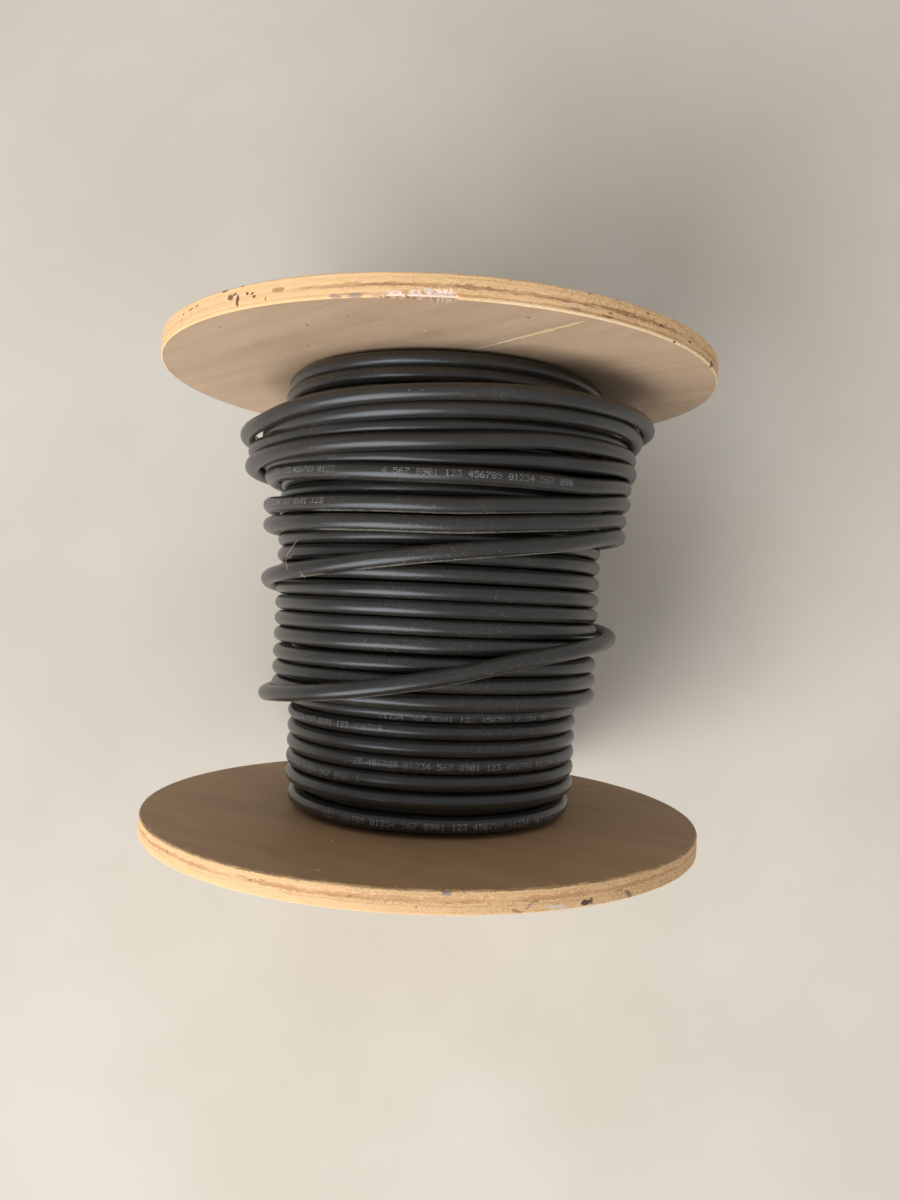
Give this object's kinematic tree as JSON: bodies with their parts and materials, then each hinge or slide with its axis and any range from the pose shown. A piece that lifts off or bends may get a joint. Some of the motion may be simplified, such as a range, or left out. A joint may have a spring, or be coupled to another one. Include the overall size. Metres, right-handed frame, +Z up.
{
  "type": "wooden cable drum",
  "caption": "Plywood cable drum lying on its rims, with black coaxial cable wound on its paper core in tidy and loose turns.",
  "frame": {"origin": "on the floor below the middle of the drum, midway between the flanges", "axes": "+Y along the axle, towards the flange with the bolt heads; +Z up; +X across the drum"},
  "size_m": [0.254, 0.2154, 0.254],
  "materials": {
    "plywood": "bare, sanded",
    "cardboard": "matt",
    "cable_jacket": "satin",
    "zinc_steel": "zinc plated"
  },
  "bodies": {
    "root": {"flange_upper": "plywood", "flange_lower": "plywood", "core_tube": "cardboard", "cable_winding": "cable_jacket", "cable_loose_turns": "cable_jacket", "tie_bolt_1": "zinc_steel", "tie_bolt_2": "zinc_steel", "tie_bolt_3": "zinc_steel", "washer_1": "zinc_steel", "washer_2": "zinc_steel", "washer_3": "zinc_steel", "tee_nut_1": "zinc_steel", "tee_nut_2": "zinc_steel", "tee_nut_3": "zinc_steel"}
  },
  "joints": []
}
